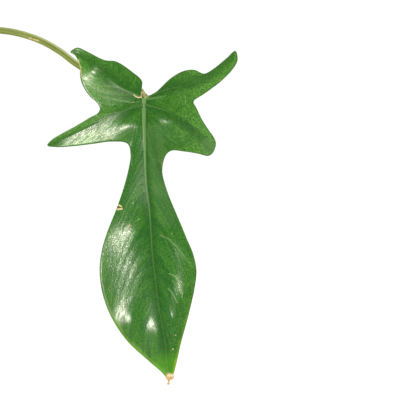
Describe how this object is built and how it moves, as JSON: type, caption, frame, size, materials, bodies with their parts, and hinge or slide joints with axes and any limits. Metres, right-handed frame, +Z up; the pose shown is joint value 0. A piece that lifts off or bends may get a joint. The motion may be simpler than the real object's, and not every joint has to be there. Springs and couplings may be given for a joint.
{
  "type": "potted glad hands philodendron",
  "caption": "Climbing aroid house plant with long-stalked five-lobed leaves, narrow-waisted like raised hands, growing in a plain round clay pot.",
  "frame": {"origin": "centre of the pot's base, on the surface that it stands on", "axes": "+Z up; +X towards the leaf that the picture shows, whose upper side faces -Y"},
  "size_m": [0.4222, 0.3842, 0.3827],
  "materials": {
    "blade": "glossy leaf, dark green, fine side veins, paler below",
    "petiole": "satin olive green, finely lined along its length",
    "stem": "satin green with pale leaf scars, browner with age",
    "young_leaf": "waxy light green",
    "sheath": "dry papery tan",
    "aerial_root": "matt corky brown, pale at the tip",
    "pot": "matt unglazed clay",
    "soil": "moist bark and peat mix with perlite"
  },
  "bodies": {
    "root": {"pot": "pot", "soil": "soil", "stem": "stem", "leaf_1_blade": "blade", "leaf_1_petiole": "petiole", "leaf_2_blade": "blade", "leaf_2_petiole": "petiole", "leaf_3_blade": "blade", "leaf_3_petiole": "petiole", "leaf_4_blade": "blade", "leaf_4_petiole": "petiole", "leaf_5_blade": "blade", "leaf_5_petiole": "petiole", "leaf_6_blade": "blade", "leaf_6_petiole": "petiole", "leaf_7_blade": "blade", "leaf_7_petiole": "petiole", "new_leaf": "young_leaf", "new_leaf_sheath": "sheath", "aerial_root_1": "aerial_root", "aerial_root_2": "aerial_root", "aerial_root_3": "aerial_root", "aerial_root_4": "aerial_root"}
  },
  "joints": []
}
